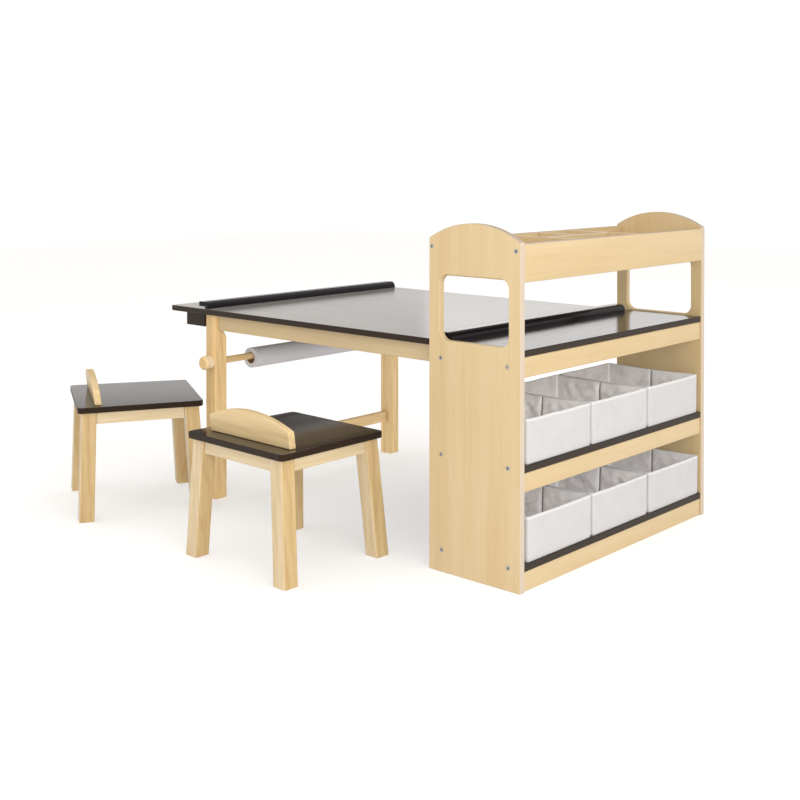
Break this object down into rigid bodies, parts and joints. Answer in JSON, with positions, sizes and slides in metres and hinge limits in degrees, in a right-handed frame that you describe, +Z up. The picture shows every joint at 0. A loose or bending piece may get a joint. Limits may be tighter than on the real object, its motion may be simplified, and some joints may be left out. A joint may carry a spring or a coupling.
{
  "type": "kids table and chairs",
  "caption": "Children's art table with an open shelf unit, fabric storage bins, a paper roll holder and matching low stools.",
  "frame": {"origin": "on the floor, at the centre of the whole set's bounding box with the stools as they stand", "axes": "+X along the table towards the shelf unit's open front, +Y across the table away from the stools, +Z up"},
  "size_m": [1.4104, 1.1211, 0.77],
  "materials": {
    "laminate": "satin maple laminate",
    "espresso": "satin dark laminate",
    "birch": "clear satin lacquer on solid wood",
    "black_plastic": "satin black",
    "bin_fabric": "non-woven light grey",
    "paper": "plain white drawing paper",
    "cardboard": "plain"
  },
  "bodies": {
    "table_and_shelf": {"apron_end": "laminate", "apron_far": "laminate", "apron_near": "laminate", "base_board_front": "laminate", "deck": "espresso", "deck_rail_back": "laminate", "deck_rail_front": "laminate", "overhang_box": "espresso", "paper_guide_end": "black_plastic", "paper_guide_shelf": "black_plastic", "shelf_lower": "espresso", "shelf_rail_front": "laminate", "shelf_upper": "espresso", "side_panel_far": "laminate", "side_panel_near": "laminate", "stretcher": "birch", "table_leg_far": "birch", "table_leg_near": "birch", "table_top": "espresso", "tray_back": "laminate", "tray_divider_cross_1": "laminate", "tray_divider_cross_2": "laminate", "tray_divider_long": "laminate", "tray_divider_short": "laminate", "tray_floor": "laminate", "tray_front": "laminate"},
    "bin_lower_1": {"bin_lower_1": "bin_fabric"},
    "bin_lower_2": {"bin_lower_2": "bin_fabric"},
    "bin_lower_3": {"bin_lower_3": "bin_fabric"},
    "bin_upper_1": {"bin_upper_1": "bin_fabric"},
    "bin_upper_2": {"bin_upper_2": "bin_fabric"},
    "bin_upper_3": {"bin_upper_3": "bin_fabric"},
    "roll_dowel_body": {"roll_dowel": "birch", "knob_far": "birch"},
    "knob_near_body": {"knob_near": "birch"},
    "paper_roll_body": {"paper_roll": "paper", "paper_core": "cardboard"},
    "stool_front": {"stool_front_apron_back": "laminate", "stool_front_apron_front": "laminate", "stool_front_apron_left": "laminate", "stool_front_apron_right": "laminate", "stool_front_backrest": "birch", "stool_front_leg_back_left": "birch", "stool_front_leg_back_right": "birch", "stool_front_leg_front_left": "birch", "stool_front_leg_front_right": "birch", "stool_front_seat": "espresso"},
    "stool_end": {"stool_end_apron_back": "laminate", "stool_end_apron_front": "laminate", "stool_end_apron_left": "laminate", "stool_end_apron_right": "laminate", "stool_end_backrest": "birch", "stool_end_leg_back_left": "birch", "stool_end_leg_back_right": "birch", "stool_end_leg_front_left": "birch", "stool_end_leg_front_right": "birch", "stool_end_seat": "espresso"}
  },
  "joints": [
    {"name": "bin_lower_1_draw", "type": "slide", "parent": "table_and_shelf", "child": "bin_lower_1", "axis": [1, 0, 0], "range_m": [0, 0.26]},
    {"name": "bin_lower_2_draw", "type": "slide", "parent": "table_and_shelf", "child": "bin_lower_2", "axis": [1, 0, 0], "range_m": [0, 0.26]},
    {"name": "bin_lower_3_draw", "type": "slide", "parent": "table_and_shelf", "child": "bin_lower_3", "axis": [1, 0, 0], "range_m": [0, 0.26]},
    {"name": "bin_upper_1_draw", "type": "slide", "parent": "table_and_shelf", "child": "bin_upper_1", "axis": [1, 0, 0], "range_m": [0, 0.26]},
    {"name": "bin_upper_2_draw", "type": "slide", "parent": "table_and_shelf", "child": "bin_upper_2", "axis": [1, 0, 0], "range_m": [0, 0.26]},
    {"name": "bin_upper_3_draw", "type": "slide", "parent": "table_and_shelf", "child": "bin_upper_3", "axis": [1, 0, 0], "range_m": [0, 0.26]},
    {"name": "roll_dowel_spin", "type": "hinge", "parent": "table_and_shelf", "child": "roll_dowel_body", "pos_m": [-0.33876, 0.16315, 0.3658], "axis": [0, 1, 0], "continuous": true},
    {"name": "paper_roll_spin", "type": "hinge", "parent": "table_and_shelf", "child": "paper_roll_body", "pos_m": [-0.33876, 0.17165, 0.3607], "axis": [0, 1, 0], "continuous": true},
    {"name": "knob_near_pull", "type": "slide", "parent": "roll_dowel_body", "child": "knob_near_body", "axis": [0, -1, 0], "range_m": [0, 0.03]},
    {"name": "stool_front_move", "type": "slide", "parent": "table_and_shelf", "child": "stool_front", "axis": [0, -1, 0], "range_m": [-0.3, 0.4]},
    {"name": "stool_end_move", "type": "slide", "parent": "table_and_shelf", "child": "stool_end", "axis": [-0.497, -0.8678, 0], "range_m": [0, 0.4]}
  ]
}
